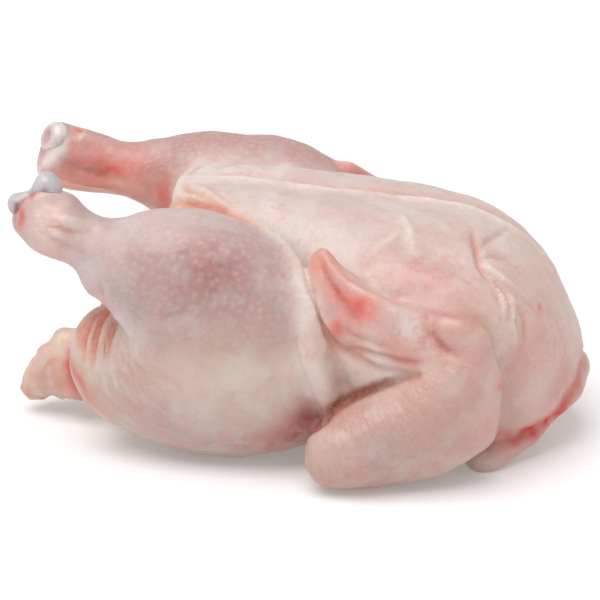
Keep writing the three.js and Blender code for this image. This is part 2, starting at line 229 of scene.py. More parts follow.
# x, y, z, half size across, half size upwards; paired pieces are given on the left side
THIGH = [
    (-106, -36, 46, 12, 16),
    (-94, -42, 46, 22, 27),
    (-70, -48, 44, 30, 36),
    (-38, -52, 46, 34, 45),
    (-5, -55, 52, 32, 45),
    (18, -56, 60, 22, 34),
    (28, -54, 62, 12, 22),
]
LEFT_DRUMSTICK = [
    (14, 4 - LEG_Y, 72, 20, 22),
    (-10, -LEG_Y, 80, 29, 31),
    (-38, -LEG_Y - 1, 91, 31, 34),
    (-62, -LEG_Y - 1, 97, 28.5, 30.5),
    (-80, -LEG_Y - 1, 101, 22, 24),
    (-97, -LEG_Y, 110.5, 12.5, 13),
    (-109, -LEG_Y, 118.5, 13.5, 15.5),
    (-120, -LEG_Y, 126, 13, 16),
]
LEFT_CUFF = [  # the cut end of the left leg, from under the rear roll of the joint to the front one
    (-130.5, -LEG_Y - 1, 114, 8, 7),
    (-123, -LEG_Y - 1, 119, 10, 9),
    (-114, -LEG_Y, 127, 10.5, 10),
    (-107, -LEG_Y + 1, 132, 9, 7),
]
SHANK_FOLD = [  # the slack skin that hangs under the left hock
    (-126, -LEG_Y - 2, 113, 6, 6),
    (-112, -LEG_Y - 3, 107.5, 6, 6.5),
    (-101, -LEG_Y - 3, 104, 5, 6.5),
    (-93, -LEG_Y - 2, 104, 3, 4),
]
RIGHT_DRUMSTICK = [
    (12, LEG_Y - 2, 88, 20, 24),
    (-14, LEG_Y, 102, 29, 29),
    (-42, LEG_Y + 1, 103.5, 31, 29.5),
    (-62, LEG_Y + 1, 107, 27, 27.5),
    (-82, LEG_Y, 111.5, 18, 19),
    (-98, LEG_Y, 113, 14, 14.5),
    (-112, LEG_Y, 115.5, 14.5, 16),
    (-126, LEG_Y - 2, 119, 14, 17.5),
    (-141.5, LEG_Y - 6.5, 125, 12, 17),
]
KNEE_FOLD = [  # the drumstick's lower rear edge, where its skin folds over the thigh, left side
    (-94, -60, 96, 4, 5),
    (-87, -66, 87, 4, 6),
    (-79, -71, 78, 4, 6.5),
    (-70, -76, 71, 4, 6),
    (-58, -80, 66, 3, 4),
]
flesh_of_both_sides.append((KNEE_FOLD, (0, -1, 0.3), 9))
FLAT_END = 0.3  # the rounding of a cut end, as a share of its size
UP = (0, 0, 1)


def unit(vectors):
    return vectors / np.linalg.norm(vectors, axis=-1, keepdims=True)


def frames(stations, up, shares):
    """Centre, half sizes, length so far, and the path, side and rise directions of a limb."""
    rows = spline(stations, shares)
    centre, half = rows[:, :3], rows[:, 3:5]
    run = np.concatenate([[0], np.cumsum(np.linalg.norm(np.diff(centre, axis=0), axis=1))])
    path = unit(np.gradient(centre, run, axis=0))
    side = unit(np.cross(path, up))
    return centre, half, run, path, side, np.cross(side, path)


def limb(stations, up=UP, around=40, along=60, rounding=0.8, end_rounding=0.8):
    """Ellipses square to a spline through the stations, with round ends: centre + side * cosine
    + rise * sine, where side is square to the path and to up, and rise to both."""
    centre, half, run, _, side, rise = frames(stations, up, even_shares(along))
    size = round_ends(run, rounding * half[0].max(), end_rounding * half[-1].max())
    half = half * size[:, None]
    angle = 2 * np.pi * np.arange(around) / around
    rings = centre[:, None] + np.cos(angle)[:, None] * (side * half[:, :1])[:, None]
    return closed_by_poles(rings + np.sin(angle)[:, None] * (rise * half[:, 1:])[:, None])


flesh += [limb(THIGH), limb(mirrored(THIGH)), limb(LEFT_DRUMSTICK, along=80)]
flesh += [limb(RIGHT_DRUMSTICK, along=80, end_rounding=FLAT_END)]
flesh += [limb(LEFT_CUFF, around=28, along=40), limb(SHANK_FOLD, around=24, along=40)]
parts["left thigh"] = (THIGH, UP, "#cdb9ad", 0.3)
parts["right thigh"] = (mirrored(THIGH), UP, "#cdb9ad", 0.3)
parts["left drumstick"] = (LEFT_DRUMSTICK, UP, "#bca09d", 1.0)
parts["right drumstick"] = (RIGHT_DRUMSTICK, UP, "#b9908b", 1.0)

HOLLOW_OF_THE_KNEE = [(-96, -60, 92), (-88, -66, 81), (-80, -71, 71), (-72, -76, 63), (-60, -82, 58)]
THIGH_FOLDS = [
    (-2.4, 1.7, [(-90, -53, 78), (-94, -55, 69), (-96, -59, 61), (-97, -63, 52)]),
    (1.8, 2.0, [(-88, -55, 78), (-92, -57, 69), (-94, -61, 61), (-95, -65, 50)]),
    (-2.2, 1.7, [(-87, -57, 76), (-90, -59, 69), (-91, -63, 61), (-92, -67, 50)]),
    (1.6, 2.0, [(-85, -60, 75), (-87, -63, 68), (-88, -67, 59), (-88, -70, 48)]),
    (-2.0, 1.7, [(-82, -63, 73), (-84, -66, 66), (-85, -69, 57), (-84, -72, 47)]),
    (-1.2, 1.6, [(-79, -68, 68), (-80, -71, 60), (-79, -74, 51), (-75, -77, 42)]),
    (0.9, 1.7, [(-76, -70, 66), (-78, -73, 58), (-76, -76, 49), (-69, -79, 41)]),
    (-1.2, 1.6, [(-74, -72, 64), (-75, -75, 56), (-72, -78, 49), (-62, -81, 40)]),
    (-1.0, 1.6, [(-69, -76, 61), (-69, -78, 55), (-64, -81, 49), (-49, -85, 42)]),
    (-0.8, 1.6, [(-63, -79, 59), (-58, -82, 53), (-49, -84, 48)]),
    (-1.0, 1.6, [(-87, -72, 48), (-82, -75, 40), (-73, -77, 34), (-63, -80, 30)]),
]
folds += THIGH_FOLDS
folds += [(rise, width, mirrored(path)) for rise, width, path in THIGH_FOLDS]
folds += [
    (-3.2, 2.2, HOLLOW_OF_THE_KNEE[:3]),
    (2.2, 2.6, [(x + 3, y - 4, z + 5) for x, y, z in HOLLOW_OF_THE_KNEE[:3]]),
    (3.2, 5.0, [(-74, -76, 66), (-66, -76, 60), (-58, -80, 56)]),
    (-4.5, 8.0, [(-97, -73, 108), (-92, -76, 98), (-89, -75, 86)]),
    (-3.0, 5.0, [(-91, -75, 91), (-87, -75, 83), (-81, -76, 76)]),
    (-0.9, 1.4, [(-83, -69, 61), (-81, -73, 54), (-76, -77, 47), (-67, -79, 43), (-55, -83, 41)]),
    (-0.9, 1.4, [(-78, -71, 63), (-77, -74, 57), (-72, -77, 51), (-64, -80, 47), (-54, -83, 45)]),
    (-0.9, 1.4, [(-74, -72, 62), (-73, -76, 57), (-67, -78, 53), (-60, -82, 50), (-51, -83, 49)]),
    (-3.5, 6.0, [(-118, -16, 12), (-111, -18, 8), (-104, -26, 6)]),
    (-2.2, 2.0, [(-57, -88, 82), (-51, -90, 84), (-45, -91, 86), (-43, -91, 89)]),
    (2.2, 1.9, [(-117, -72, 125), (-109, -74, 124), (-101, -72, 123), (-93, -69, 121)]),
    (-1.6, 1.7, [(-115, -73, 121), (-107, -74, 120), (-100, -73, 118), (-93, -71, 117)]),
    (1.2, 1.8, [(-120, -71, 119), (-111, -73, 117), (-103, -73, 114)]),
    (-1.4, 1.7, [(-119, -72, 121), (-113, -73, 116), (-104, -72, 111), (-95, -72, 107)]),
    (2.0, 2.0, [(-116, -68, 130), (-110, -70, 127), (-102, -69, 125)]),
    (2.6, 3.2, [(-121, -66, 128), (-114, -66, 132), (-106, -64, 132)]),
    (2.4, 2.4, [(-131, 45, 113), (-118, 46, 108), (-104, 46, 105)]),
    (-2.0, 2.0, [(-128, 44, 122), (-120, 45, 117), (-108, 46, 113), (-96, 46, 110)]),
    (1.8, 2.6, [(-121, 52, 132), (-117, 50, 130)]),
]
patches += [
    ("#996663", 0.65, 18, [(-50, -84, 112), (-32, -87, 108), (-12, -82, 106)]),
    ("#a97c78", 0.5, 14, [(-55, -87, 98), (-12, -87, 92)]),
    ("#9a5650", 0.4, 9, [(-40, -87, 106), (-30, -88, 101), (-22, -88, 97)]),
    ("#a08a8a", 0.7, 12, [(-74, -80, 92)]),
    ("#d8ccc8", 0.6, 14, [(-85, -66, 122), (-60, -64, 128), (-20, -62, 120)]),
    ("#e2c2b4", 0.8, 11, [(-113, -66, 124)]),
    ("#efdccc", 0.9, 2.6, [(-113, -73, 125), (-103, -72, 123), (-95, -70, 121)]),
    ("#f3dfda", 1.0, 9, [(-118, -70, 118), (-110, -72, 119), (-102, -71, 116)]),
    # painted shadow: an orange line under the tendon ridge of the hock
    ("#e0a88e", 0.7, 1.5, [(-112, -74, 120), (-104, -73, 119), (-98, -72, 117)]),
    ("#d8a89a", 0.6, 1.5, [(-117, -72, 119), (-107, -72, 113), (-97, -72, 108)]),
    ("#dfbab4", 0.8, 7, [(-122, -72, 109), (-110, -73, 105), (-98, -71, 102)]),
    ("#cbbfc1", 0.9, 4.5, [(-130, -64, 122), (-129, -66, 117)]),
    ("#c8463c", 1.2, 1.8, [(-118, -66, 133)]),
    ("#cf5648", 1.1, 2.0, [(-125, -66, 128), (-124, -69, 123), (-126, -69, 117)]),
    ("#93525a", 0.8, 1.6, [(-128, -66, 124), (-128, -67, 119)]),
    ("#e8946a", 1.2, 8, [(-90, -46, 80), (-86, -58, 78)]),
    ("#e6a98c", 1.0, 10, [(-96, -52, 68), (-99, -58, 56)]),
    ("#d9622e", 1.2, 1.8, [(-91, -52, 80), (-94, -55, 69), (-96, -59, 61), (-97, -63, 52)]),
    ("#d9622e", 1.2, 1.8, [(-88, -55, 78), (-90, -59, 69), (-91, -63, 61), (-92, -67, 50)]),
    # painted shade: darker orange in the shaded third vent crease
    ("#c66a50", 0.9, 2.2, [(-82, -63, 73), (-84, -66, 66), (-85, -69, 57)]),
    ("#d2503a", 1.0, 3, [(-106, -52, 50), (-103, -58, 44), (-98, -64, 37), (-96, -58, 24)]),
    ("#d9907c", 0.6, 6, [(-98, -62, 40), (-93, -66, 30), (-94, -62, 20)]),
    ("#d8604c", 0.6, 7, [(-113, -20, 34), (-110, -20, 18)]),
    ("#cf4630", 1.2, 3.4, [(-114, -15, 42), (-114, -20, 34), (-113, -21, 26), (-110, -20, 16)]),
    ("#dd7c6e", 0.9, 14, [(-122, 46, 118), (-104, 46, 114), (-86, 43, 108)]),
    ("#eda58c", 1.0, 7, [(-136, 47, 112), (-126, 47, 109), (-112, 50, 106)]),
    ("#f7b5a2", 1.0, 7, [(-106, 48, 109), (-97, 47, 109), (-86, 44, 105)]),
    ("#e27f80", 0.9, 8, [(-118, 46, 122)]),
    ("#c99a9c", 0.8, 3.0, [(-116, 46, 123)]),
    ("#e03a32", 1.0, 3.0, [(-110, 47, 114), (-102, 47, 116), (-96, 46, 113)]),
    ("#ead6c0", 0.9, 6, [(-122, 54, 133), (-116, 54, 131)]),
    ("#dc5c48", 1.2, 2.2, [(-121, 56, 134)]),
    ("#f0e9e4", 1.0, 3.6, [(-127, 46, 133), (-129, 43, 126), (-135, 45, 121), (-140, 47, 116)]),
    ("#e6d9d3", 0.9, 3.4, [(-141, 48, 118), (-142, 50, 112), (-140, 50, 107)]),
    ("#df8672", 0.5, 14, [(-102, 44, 118), (-86, 40, 112)]),
    ("#d65a42", 0.9, 12, [(-82, 38, 100), (-70, 36, 104)]),
    # painted shade: greyer and darker along the underside of the near thigh
    ("#b7a5a6", 0.7, 13, [(-78, -74, 36), (-50, -79, 22), (-22, -77, 15)]),
    ("#a87c76", 0.7, 11, [(-30, -77, 14), (-14, -80, 17)]),
    ("#d4ccd0", 0.8, 7, [(-97, -72, 108), (-92, -74, 98), (-86, -74, 85), (-78, -77, 75), (-68, -79, 66)]),
    # painted shade: a greyer web in the hollow above the forearm
    ("#ad9694", 0.7, 7, [(23, -89, 52), (32, -82, 50), (28, -83, 57)]),
]
for rows in (THIGH, mirrored(THIGH)):
    middle_x, middle_y, *_ = rows[len(rows) // 2]
    patches.append(("#cdbb9f", 0.35, 18, [(middle_x, middle_y * 1.6, 66), (-14, middle_y * 1.65, 70)]))

# ---- Wings ------------------------------------------------------------------------------------
# Each wing is folded against the side: the upper arm runs back from the shoulder, the forearm
# forward again, and the flat hand with its thumb lies back over the breast.
HAND_LIFT = 6.0  # the right hand lies this much higher than the left one
ACROSS_WING = (-0.6, 0, 0.8)
ACROSS_HAND = (0.5, 0, 0.85)
ALONG_BODY = (1, 0, 0)

FOREARM = [
    (11, -87, 18, 15, 14.5),
    (32, -90, 19.5, 17, 18),
    (54, -90, 32, 16, 17.5),
    (74, -88, 48, 15, 16.5),
    (86, -85, 64, 12, 14.5),
    (88, -83, 76, 9, 12),
]
UPPER_ARM = [
    (18, -85, 16, 14, 14),
    (38, -86, 18, 16, 18),
    (65, -81, 24, 17, 20),
    (84, -74, 32, 17, 20),
    (96, -62, 38, 16, 20),
]
WING_WEB = [
    (88, -85, 70, 9, 14),
    (89, -84, 55, 10, 15),
    (87, -81, 38, 12, 16),
    (82, -79, 22, 14, 16),
]
WING_HAND = [
    (92, -83, 68, 9, 13),
    (74, -85, 71, 8.5, 15),
    (56, -85, 75, 7.5, 16.5),
    (39.5, -83.5, 83, 6.5, 16),
    (29, -80, 90, 6, 14),
    (22, -76, 98, 5.5, 11),
    (17, -69.5, 108, 5, 7),
    (13.5, -66, 112.5, 3.5, 4.5),
]
WING_THUMB = [
    (97, -84, 72, 7, 9),
    (86, -89, 80, 5.5, 8),
    (70, -91, 85, 4, 5.5),
]


def raised(rows, lift):
    return [(x, y, z + lift, *rest) for x, y, z, *rest in rows]


ABOVE_HAND = [(21, -72, 111), (28, -81, 105), (33, -82, 102), (39, -82, 98), (54, -84, 92), (64, -85, 89)]
MIDDLE_OF_HAND = [(18, -72, 107), (22, -79, 100), (27, -83, 94), (32, -86, 88), (37, -88, 83)]
EDGE_OF_HAND = [(32, -86, 69), (44, -90, 68), (54, -90, 67), (66, -93, 66)]
BELOW_HAND = [
    (11, -66, 101), (14, -78, 92), (18, -83, 82), (23, -84, 73), (33, -87, 66), (46, -89, 60),
    (58, -90, 60),
]
ABOVE_FOREARM = [
    (9, -80, 20), (15, -88, 29), (22, -90, 36), (29, -84, 42), (45, -85, 50), (54, -88, 55),
    (64, -94, 61),
]
WING_FOLDS = [
    (-1.0, 1.5, ABOVE_HAND),
    (-2.2, 2.0, MIDDLE_OF_HAND),
    (4.0, 4.5, [(14, -77, 93), (16, -78, 87), (19, -79, 80), (21, -80, 73), (26, -82, 67)]),
    (-2.2, 1.8, BELOW_HAND),
    (-4.0, 1.9, ABOVE_FOREARM),
    (2.0, 2.0, [(14, -76, 100), (18, -82, 90), (22, -84, 81), (28, -86, 75)]),
    (1.2, 2.2, [(25, -78, 106), (33, -83, 99), (42, -86, 94), (56, -88, 87)]),
    (-1.8, 1.6, [(26, -85, 80), (34, -88, 76), (46, -90, 73), (54, -90, 71)]),
    (-2.4, 1.6, EDGE_OF_HAND),
    (-3.0, 1.8, [(68, -90, 82), (71, -91, 78), (75, -92, 74), (82, -94, 70)]),
    (-2.4, 1.8, [(67, -88, 86), (70, -88, 84), (70, -91, 79)]),
    (-1.2, 1.5, [(55, -88, 85), (55, -90, 80), (54, -90, 74)]),
]
WING_PATCHES = [
    ("#d8d0cc", 0.7, 8, [(48, -87, 90), (58, -89, 83), (66, -90, 78)]),
    ("#e08a78", 0.9, 6, [(15, -70, 107), (17, -76, 101)]),
    ("#e3cdc6", 0.7, 3.5, [(28, -80, 103), (36, -84, 98), (48, -86, 94)]),
    ("#df6a5c", 1.0, 7, [(44, -89, 84), (38, -88, 90), (28, -84, 95)]),
    ("#e0625a", 1.0, 3.8, [(24, -85, 80), (29, -87, 77)]),
    ("#d63c2e", 1.0, 3.2, [(34, -87, 92), (39, -88, 88)]),
    ("#cb4030", 1.0, 1.8, MIDDLE_OF_HAND),
    ("#e2694e", 1.0, 1.8, [(13, -62, 106), (17, -68, 108), (22, -72, 107), (28, -71, 104)]),
    ("#c9886e", 0.9, 1.6, ABOVE_HAND),
    ("#c4826e", 0.8, 1.7, BELOW_HAND),
    ("#d98c7c", 0.7, 4, [(38, -89, 72), (56, -91, 70)]),
    ("#d4603e", 1.0, 1.5, EDGE_OF_HAND),
    # painted shade: a dark red line in the crevice above the forearm
    ("#7c2216", 1.4, 2.5, ABOVE_FOREARM),
    ("#c79a94", 0.7, 10, [(84, -92, 34), (92, -88, 20)]),
    ("#b3a19a", 0.7, 13, [(38, -106, 22), (58, -105, 32)]),
    ("#a86a64", 0.8, 1.8, [(70, -91, 80), (75, -92, 75), (81, -94, 71)]),
    ("#cf7a82", 0.8, 3, [(68, -87, 88), (76, -84, 89), (84, -88, 88), (92, -88, 83)]),
    ("#cf9a96", 0.5, 8, [(88, -92, 74), (96, -88, 60)]),
    ("#d8a89c", 0.6, 8, [(98, -86, 40), (92, -90, 24)]),
]
for on_side, lift, side_name in ((list, 0, "left"), (mirrored, HAND_LIFT, "right")):
    hand = on_side(raised(WING_HAND, lift))
    flesh += [
        limb(on_side(FOREARM), ACROSS_WING),
        limb(on_side(UPPER_ARM)),
        limb(on_side(WING_WEB), ALONG_BODY),
        limb(hand, ACROSS_HAND),
        limb(on_side(raised(WING_THUMB, lift)), ACROSS_HAND, around=24, along=40),
    ]
    parts[side_name + " forearm"] = (on_side(FOREARM), ACROSS_WING, "#c6a294", 0.5)
    parts[side_name + " upper arm"] = (on_side(UPPER_ARM), UP, "#c9a89c", 0.5)
    parts[side_name + " web"] = (on_side(WING_WEB), ALONG_BODY, "#d3b3a8", 0.4)
    parts[side_name + " hand"] = (hand, ACROSS_HAND, "#cf9f94", 0.2)
    folds += [(rise, width, on_side(path)) for rise, width, path in WING_FOLDS]
    for colour, strength, radius, path in WING_PATCHES + BREAST_PATCHES:
        patches.append((colour, strength, radius, on_side(path)))
folds += BREAST_FOLDS
patches += [
    ("#efa898", 0.8, 8, [(12, 60, 117), (20, 66, 116), (28, 60, 118)]),
    ("#cf5a58", 0.9, 1.5, [(120, -45, 82), (121, -47, 79)]),
    ("#d9605c", 0.9, 3, [(102, -86, 57), (103, -85, 50)]),
]

# ---- Tail -------------------------------------------------------------------------------------
# The fatty stump that the tail feathers grew from, with lumps of fat at its root, a rounded pink
# tip and the stubs of two quills under it.
TAIL = [
    (-92, 0, 30, 26, 19),
    (-108, 0, 27, 23, 18),
    (-120, 0, 24, 18, 17),
    (-131, 0, 18.5, 13, 11.5),
    (-139.5, 0, 13.5, 7.5, 7),
    (-145, 0, 12, 5, 5),
]
FAT_LUMPS = [  # x, y, z, half sizes
    (-123, 5, 40, 6, 6, 4.5),
    (-117, -7, 42, 6, 6, 5),
    (-130, -6, 33, 5, 4.5, 4.5),
    (-124, -15, 30, 6, 5, 6),
    (-140.5, -2, 11, 5, 5, 4.5),
    (-133, -5, 8.5, 4, 3.5, 3.5),
    (-126, 9, 10, 5, 4, 4.5),
    (-112, -16, 14, 8, 7, 6),
]


def ellipsoid(x, y, z, half_x, half_y, half_z, around=24):
    """centre + half sizes * a unit ball's latitude and longitude circles."""
    latitude = np.pi * np.arange(around // 2 + 1)[:, None] / (around // 2)
    longitude = 2 * np.pi * np.arange(around)[None] / around
    ball = np.stack([
        np.cos(latitude) + 0 * longitude,
        np.sin(latitude) * np.cos(longitude),
        np.sin(latitude) * np.sin(longitude),
    ], -1)
    return closed_by_poles(np.array([x, y, z]) + ball * np.array([half_x, half_y, half_z]))


flesh += [limb(TAIL)] + [ellipsoid(*lump) for lump in FAT_LUMPS]
parts["tail"] = (TAIL, UP, "#dec2b2", 0.1)
patches += [
    ("#ecdcbc", 1.0, 7, [(-115, -10, 45), (-121, -7, 43), (-127, -5, 38)]),
    ("#e2b4a0", 0.9, 8, [(-134, -8, 27), (-134, -8, 18)]),
    ("#df9c86", 0.9, 7, [(-124, -16, 22), (-114, -20, 22)]),
    ("#d8604c", 1.1, 4.5, [(-144, -2, 15), (-141, -6, 11)]),
    ("#cf8a6a", 0.9, 2.6, [(-133, -6, 9), (-130, -8, 9)]),
    ("#d59078", 0.8, 2.0, [(-118, -16, 36), (-124, -15, 31), (-128, -12, 24)]),
]

# ---- Skin edges and neck ----------------------------------------------------------------------
# The breast skin was cut at the vent and slid forward. Its rolled edge hangs over the vent, and it
# goes on as a soft band down behind each wing. At the other end the neck skin is rolled under.
VENT_FLAP_HALF = [
    (-44, -44, 108, 4, 5),
    (-52, -33, 112, 4.5, 6.5),
    (-57.5, -20, 115.5, 4.5, 8),
    (-58, -7, 118.5, 4.5, 8.5),
]
SKIN_EDGE = [
    (-54, -16, 122, 3.5, 4),
    (-45, -28, 118.5, 3.5, 4.5),
    (-34, -38, 115.5, 4, 5),
    (-20, -46, 113, 4, 5),
    (-6, -56, 108.5, 4, 7),
    (5, -70, 98, 4, 8),
    (11, -78, 82, 4.5, 9),
    (16, -82, 64, 5, 9.5),
    (21, -83, 48, 5, 9.5),
    (25, -80, 34, 5, 9),
]
BEHIND_THE_WING = SKIN_EDGE[5:]
FLANK = [  # the web of skin between the leg and the folded wing, left side
    (20, -68, 100, 8, 10),
    (28, -74, 84, 8, 18),
    (36, -77, 68, 8, 21),
    (43, -77, 56, 8, 19),
    (48, -71, 44, 8, 14),
]
ARMPIT = [  # the web's lower end, between the forearm and the side, left side
    (22, -77, 34, 6, 7),
    (33, -78, 41, 7, 8),
    (45, -80, 50, 7, 8),
    (55, -82, 55, 5, 6),
    (61, -82, 60, 5, 6),
]
NECK_LIP_HALF = [
    (84, -58, 6, 9, 8),
    (98, -55, 6.5, 9, 8),
    (108, -48, 8.5, 6, 6.5),
    (117.5, -42, 12, 4.5, 4),
    (125, -38, 18.5, 3.5, 3),
    (131.5, -30.5, 24, 4, 3.5),
    (136.5, -20, 29, 5.5, 6),
    (139.5, -7, 33, 6, 7.5),
]
NECK_PAD = (99, 0, 11, 27, 42, 22)
UNDER_THE_FLAP = [
    (-58, -28, 120), (-50, -33, 121), (-42, -36, 121), (-34, -40, 120), (-25, -45, 118),
    (-15, -51, 115),
]
CREASE_OF_THE_FLAP = [(-56, -5, 127), (-53, -22, 126), (-46, -29, 125), (-38, -36, 123)]


def through_middle(half):
    """Stations given up to the middle plane go on through it as their own mirror image."""
    return [*half, *reversed(mirrored(half))]


flesh_of_both_sides += [(SKIN_EDGE, (0, -1, 0.3), 0), (FLANK, (1, 0, 0), 0), (ARMPIT, UP, 0)]
for rows, up, lift in flesh_of_both_sides:
    flesh.append(limb(rows, up, around=24, along=80))
    flesh.append(limb(mirrored(raised(rows, lift)), (up[0], -up[1], up[2]), around=24, along=80))
flesh += [
    limb(through_middle(VENT_FLAP_HALF), around=24, along=80),
    limb(through_middle(NECK_LIP_HALF), around=20, along=90),
    ellipsoid(*NECK_PAD, around=48),
]
for on_side, rolled_edge in ((list, SKIN_EDGE), (mirrored, BEHIND_THE_WING)):
    folds += [
        (1.6, 3.0, on_side(path_of(rolled_edge))),
        (-2.4, 2.4, on_side([(x + 9, y - 1, z + 2) for x, y, z, *_ in BEHIND_THE_WING])),
        (-1.6, 1.6, on_side(CREASE_OF_THE_FLAP)),
        (1.2, 1.6, on_side([(-52, -12, 127), (-46, -22, 127), (-38, -31, 125), (-28, -41, 121)])),
        (-1.2, 1.5, on_side([(-44, -14, 127), (-38, -26, 126), (-30, -36, 123)])),
    ]
    patches += [
        ("#e2d6cb", 0.8, 6, on_side(path_of(rolled_edge))),
        ("#dfd6d2", 0.8, 7, on_side([(x + 12, y - 4, z) for x, y, z, *_ in FLANK[1:]])),
        ("#df9c7a", 0.8, 1.5, on_side(CREASE_OF_THE_FLAP)),
        ("#e6dad6", 0.7, 4, on_side([(-14, -9, 124), (-11, -33, 123), (-10, -42, 119)])),
    ]
patches += [
    # painted shade: dark red-brown where the thigh meets the forearm, darkest at the crevice
    ("#b0665a", 0.7, 13, [(-20, -77, 16), (-4, -76, 17), (6, -76, 24)]),
    ("#a2443a", 0.8, 10, [(-2, -76, 15), (6, -76, 22), (12, -79, 33), (19, -83, 33), (24, -87, 40)]),
    ("#8a3024", 1.0, 5, [(14, -80, 27), (17, -83, 31), (21, -86, 35), (23, -88, 39)]),
    # painted shadow under the rolled vent flap, an orange line deepest along its crease
    ("#df9c7c", 1.0, 3.6, UNDER_THE_FLAP),
    ("#d9703e", 1.0, 1.8, [(x, y, z - 1) for x, y, z in UNDER_THE_FLAP]),
]
folds += [
    (-3.6, 2.6, UNDER_THE_FLAP),
    (-5.5, 4.5, [(-58, -36, 114), (-62, -25, 116), (-64, -8, 116), (-64, 10, 116), (-60, 30, 114)]),
    (-4.0, 5.0, [(-66, -20, 108), (-68, 0, 108), (-66, 20, 108)]),
    (1.0, 1.6, [(-29, 26, 128), (-28, 2, 127)]),
]
patches[:0] = [  # these go under all the others
    ("#e8dccf", 0.9, 9, path_of(through_middle(VENT_FLAP_HALF))),
    ("#e9ddd6", 0.8, 18, [(-44, -14, 127), (-36, 14, 127), (-10, 10, 124)]),
]

# ---- Cavity and neck cut ----------------------------------------------------------------------
# What the drawing of the bird took away: the emptied body, open at the vent over the tail. The
# neck was cut off too, and the lips of that cut, breast and rolled neck skin, have closed again.
BODY_CAVITY = [
    (-128, 0, 101, 26, 24),
    (-96, 0, 84, 29, 28),
    (-66, 0, 68, 34, 35),
    (-30, 0, 54, 40, 36),
    (10, 0, 50, 42, 33),
    (50, 0, 48, 38, 28),
    (84, 0, 46, 24, 18),
]
NECK_CUT = through_middle([
    (90, -64, 14), (100, -57, 16), (108, -51, 15.5), (116.5, -46, 16.5), (124, -40, 20.5),
    (130, -33, 26), (135, -22, 34), (138, -8, 40),
])
FUSING_VOXEL = 1.8  # how finely the muscles are first fused
SKIN_VOXEL = 1.75  # and how finely the skin is meshed


def mesh_object(name, surfaces):
    """One object in drawn millimetres from several closed surfaces."""
    points, faces, first = [], [], 0
    for some_points, some_faces in surfaces:
        points.append(some_points)
        faces += [[first + i for i in face] for face in some_faces]
        first += len(some_points)
    mesh = bpy.data.meshes.new(name)
    mesh.from_pydata(np.vstack(points).tolist(), [], faces)
    piece = bpy.data.objects.new(name, mesh)
    bpy.context.scene.collection.objects.link(piece)
    return piece


def applied(piece, kind, **settings):
    """The piece with one modifier applied to its mesh."""
    modifier = piece.modifiers.new(kind, kind)
    for name, value in settings.items():
        setattr(modifier, name, value)
    depsgraph = bpy.context.evaluated_depsgraph_get()
    mesh = bpy.data.meshes.new_from_object(piece.evaluated_get(depsgraph))
    piece.modifiers.clear()
    piece.data = mesh
    return piece


def fused(piece, voxel):
    return applied(piece, "REMESH", mode="VOXEL", voxel_size=voxel)


def coordinates(mesh):
    flat = np.empty(len(mesh.vertices) * 3)
    mesh.vertices.foreach_get("co", flat)
    return flat.reshape(-1, 3)


skin = fused(mesh_object("skin_and_flesh", flesh), FUSING_VOXEL)
cutter = mesh_object("cutter", [limb(BODY_CAVITY, along=80)])
cutter.data.flip_normals()  # a limb's faces look inward
applied(skin, "BOOLEAN", object=cutter, operation="DIFFERENCE", solver="EXACT")
bpy.data.objects.remove(cutter)
fused(skin, SKIN_VOXEL)
folds.append((-1.2, 2.5, NECK_CUT))

# ---- Skin -------------------------------------------------------------------------------------
# One thin skin, slack in some places and stretched in others, is drawn over all the muscles. It
# bridges the creases between them, and it is folded where it slid or where a joint bends.
SLACK_STEPS = 8  # how far the skin bridges creases where it clings,
TAUT_STEPS = 18  # and how much further where it is stretched,
TIGHT_STEPS = 60  # and further still over the side of the breast
TENSION = 0.6
CREASE_WIDTH = 5.0  # only folds this narrow get painted shade in their creases
BOTTOM_SHADE = 0.14  # painted shade: how much darker the skin's colour is made where it touches the table,
BOTTOM_SHADE_UP_TO = 70  # and up to which height that painted shade reaches
mesh = skin.data
skin_points = coordinates(mesh)
count = len(skin_points)
edges = np.empty(len(mesh.edges) * 2, int)
mesh.edges.foreach_get("vertices", edges)
edges = edges.reshape(-1, 2)


def relaxed(values, steps, share):
    """Each step moves every row of values by a share of the way to the mean of its neighbours."""
    ends = np.concatenate([edges, edges[:, ::-1]])
    neighbours = np.bincount(ends[:, 0], minlength=count)[:, None]
    for _ in range(steps):
        total = [np.bincount(ends[:, 0], column[ends[:, 1]], count) for column in values.T]
        values = values + share * (np.stack(total, -1) / neighbours - values)
    return values


REACH = 9.0  # how far from the skin a path may be given that is then laid on it
LAID_ON_STEPS = 3  # how often it is smoothed then, as it jumps from one skin point to the next


def stroke(path, width, points=None, laid_on=False):
    """A soft band along a smooth path: a Gaussian of the distance to it, that fades at both ends.
    A path of one point gives a round spot. It is worked out for the skin before it was folded,
    or for other points. A path that is laid on them runs through the nearest ones, smoothed by
    giving each place a quarter of either neighbour and half of itself."""
    points = skin_points if points is None else points
    line = np.array(path, float)
    fade = np.ones(1)
    if len(path) > 1:
        length = np.linalg.norm(np.diff(line, axis=0), axis=1).sum()
        share = np.linspace(0, 1, 8 + int(1.5 * length / width))
        line = spline(path, share)[:, :3]
        fade = np.sqrt(np.sin(np.pi * np.clip(share, 0.03, 0.97)))
    margin = 3 * width + REACH * laid_on
    near = np.all((points > line.min(0) - margin) & (points < line.max(0) + margin), axis=1)
    distance = np.linalg.norm(points[near, None] - line, axis=2)
    if laid_on and near.any():
        line = points[near][distance.argmin(0)]
        for _ in range(LAID_ON_STEPS):
            line[1:-1] = (line[:-2] + 2 * line[1:-1] + line[2:]) / 4
        distance = np.linalg.norm(points[near, None] - line, axis=2)
    mask = np.zeros(len(points))
    mask[near] = np.exp(-((distance.min(1) / width) ** 2)) * fade[distance.argmin(1)]
    return mask


def smoothstep(value, low, high):
    t = np.clip((value - low) / (high - low), 0, 1)
    return t * t * (3 - 2 * t)


